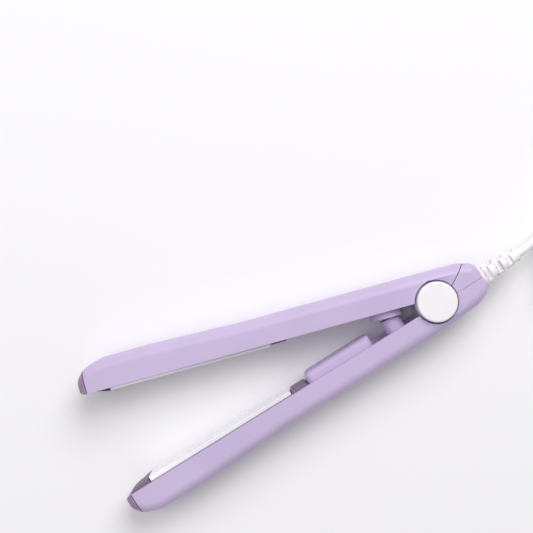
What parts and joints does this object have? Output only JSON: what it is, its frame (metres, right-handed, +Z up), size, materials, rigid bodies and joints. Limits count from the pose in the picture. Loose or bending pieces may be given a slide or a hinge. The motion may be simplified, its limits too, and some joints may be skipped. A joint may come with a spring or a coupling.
{
  "type": "flat iron",
  "caption": "small hinged hair straightener lying on its side: lilac arms on a sprung hinge, coated heating plates, white hinge caps, strain relief, coiled mains cord and plug",
  "frame": {"origin": "centre of the outer face of the lower hinge cap, on the surface that the iron lies on; the hinge axis is the Z axis", "axes": "+X along the fixed arm from its tip toward the cord, +Y toward the moving arm, +Z up along the hinge axis"},
  "size_m": [0.2926, 0.0869, 0.0228],
  "materials": {
    "lilac_shell": "satin moulded lilac plastic with a very fine grain",
    "tip_plastic": "matt heat-resistant greyed lilac plastic",
    "lilac_inner": "matt moulded lilac plastic",
    "carrier_plastic": "matt glass-filled grey-lilac plastic",
    "coated_plate": "aluminium with a smooth pale ceramic coating",
    "heater_foil": "heating element in a yellowish insulating film",
    "mica": "insulating sheet",
    "spring_steel": "spring steel",
    "steel": "zinc-plated steel",
    "lead_sleeve": "silicone-insulated wire",
    "white_gloss": "smooth white plastic",
    "white_gloss_plug": "white moulded plastic",
    "white_rubber": "soft white moulded plastic",
    "white_cord": "white cable sheath",
    "nickel_brass": "nickel-plated brass"
  },
  "bodies": {
    "fixed_arm": {"fixed_housing": "lilac_shell", "fixed_tip_cap": "tip_plastic", "fixed_inner_cover": "lilac_inner", "fixed_cover_screws": "steel", "tail_cover": "lilac_shell", "fixed_plate_carrier": "carrier_plastic", "fixed_heating_plate": "coated_plate", "fixed_heater": "heater_foil", "fixed_heater_pad": "mica", "fixed_leaf_spring": "spring_steel", "thermal_fuse": "steel", "fixed_leads": "lead_sleeve", "spring_post": "lilac_inner", "return_spring": "spring_steel", "hinge_sleeve": "steel", "hinge_washers": "steel", "hinge_screws": "steel", "hinge_cap_upper": "white_gloss", "hinge_cap_lower": "white_gloss", "strain_relief": "white_rubber", "cord_clamp": "carrier_plastic", "cord_clamp_screws": "steel", "power_cord": "white_cord", "cord_coil": "white_cord", "cord_tie": "white_cord", "plug_body": "white_gloss_plug", "plug_pins": "nickel_brass"},
    "moving_arm": {"moving_housing": "lilac_shell", "moving_tip_cap": "tip_plastic", "moving_inner_cover": "lilac_inner", "moving_cover_screws": "steel", "moving_plate_carrier": "carrier_plastic", "moving_heating_plate": "coated_plate", "moving_heater": "heater_foil", "moving_heater_pad": "mica", "moving_leaf_spring": "spring_steel", "moving_leads": "lead_sleeve", "spring_socket": "lilac_inner"}
  },
  "joints": [
    {"name": "arm_hinge", "type": "hinge", "parent": "fixed_arm", "child": "moving_arm", "pos_m": [0, 0, 0.0114], "axis": [0, 0, 1], "range_deg": [0, 15.9], "stiffness_Nm_per_rad": 0.26, "springref_deg": -12.03, "deforming": ["return_spring"]}
  ]
}
